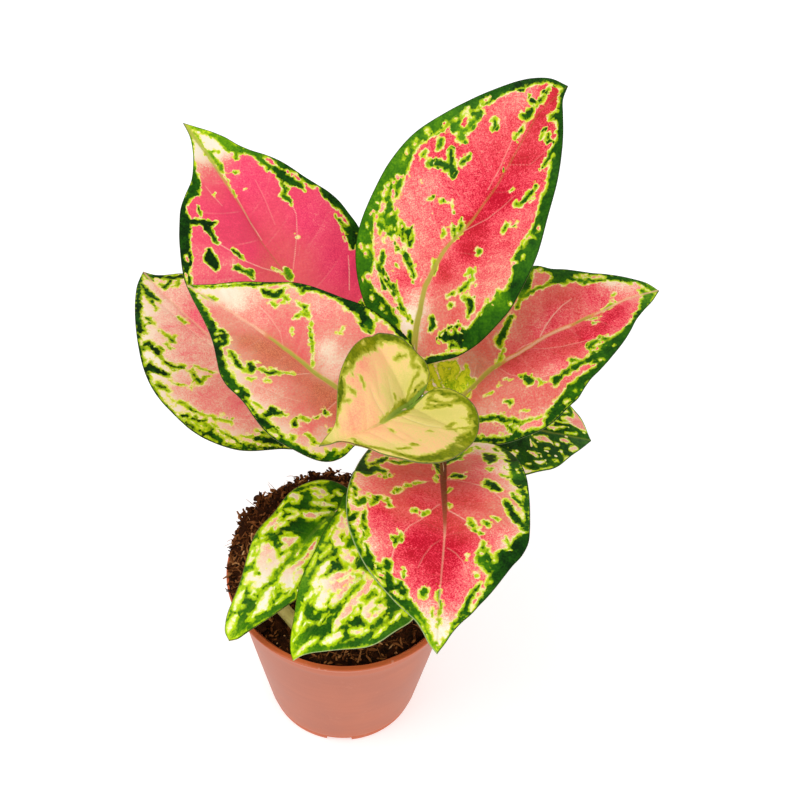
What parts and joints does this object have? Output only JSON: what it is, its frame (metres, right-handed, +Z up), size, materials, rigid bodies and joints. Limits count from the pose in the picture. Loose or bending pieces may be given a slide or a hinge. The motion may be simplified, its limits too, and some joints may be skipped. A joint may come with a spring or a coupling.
{
  "type": "potted chinese evergreen",
  "caption": "Small potted Chinese evergreen with pink, red and green variegated leaves on short stalks, growing from a cane in soil in a round tapered nursery pot.",
  "frame": {"origin": "centre of the pot's underside, on the surface that the pot stands on", "axes": "+Z up along the pot's axis; -Y towards the front, the side of the gap in the foot ring that the picture shows; +X to the right as seen from the front"},
  "size_m": [0.1323, 0.1398, 0.1569],
  "materials": {
    "pot_plastic": "satin terracotta-coloured plastic",
    "coir_soil": "dark loose coir and peat with pale brown fibres",
    "stem_skin": "smooth green cane with leaf scars",
    "dry_stalk": "dull pale yellow-green",
    "leaf_red": "waxy leaf, pink to crimson middle with green margin and lime-edged blotches",
    "leaf_young": "waxy young leaf, peach and cream with an olive margin",
    "leaf_green": "waxy leaf, green with lime, cream and pale pink patches",
    "stalk_skin": "smooth pale green to blush leaf stalk"
  },
  "bodies": {
    "root": {"nursery_pot": "pot_plastic", "potting_soil": "coir_soil", "main_stem": "stem_skin", "old_stalk_stub": "dry_stalk", "leaf_blade_01": "leaf_red", "leaf_blade_02": "leaf_red", "leaf_blade_03": "leaf_red", "leaf_blade_04": "leaf_red", "leaf_blade_05": "leaf_young", "leaf_blade_06": "leaf_red", "leaf_blade_07": "leaf_green", "leaf_blade_08": "leaf_red", "leaf_blade_09": "leaf_green", "leaf_blade_10": "leaf_green", "leaf_stalk_01": "stalk_skin", "leaf_stalk_02": "stalk_skin", "leaf_stalk_03": "stalk_skin", "leaf_stalk_04": "stalk_skin", "leaf_stalk_05": "stalk_skin", "leaf_stalk_06": "stalk_skin", "leaf_stalk_07": "stalk_skin", "leaf_stalk_08": "stalk_skin", "leaf_stalk_09": "stalk_skin", "leaf_stalk_10": "stalk_skin"}
  },
  "joints": []
}
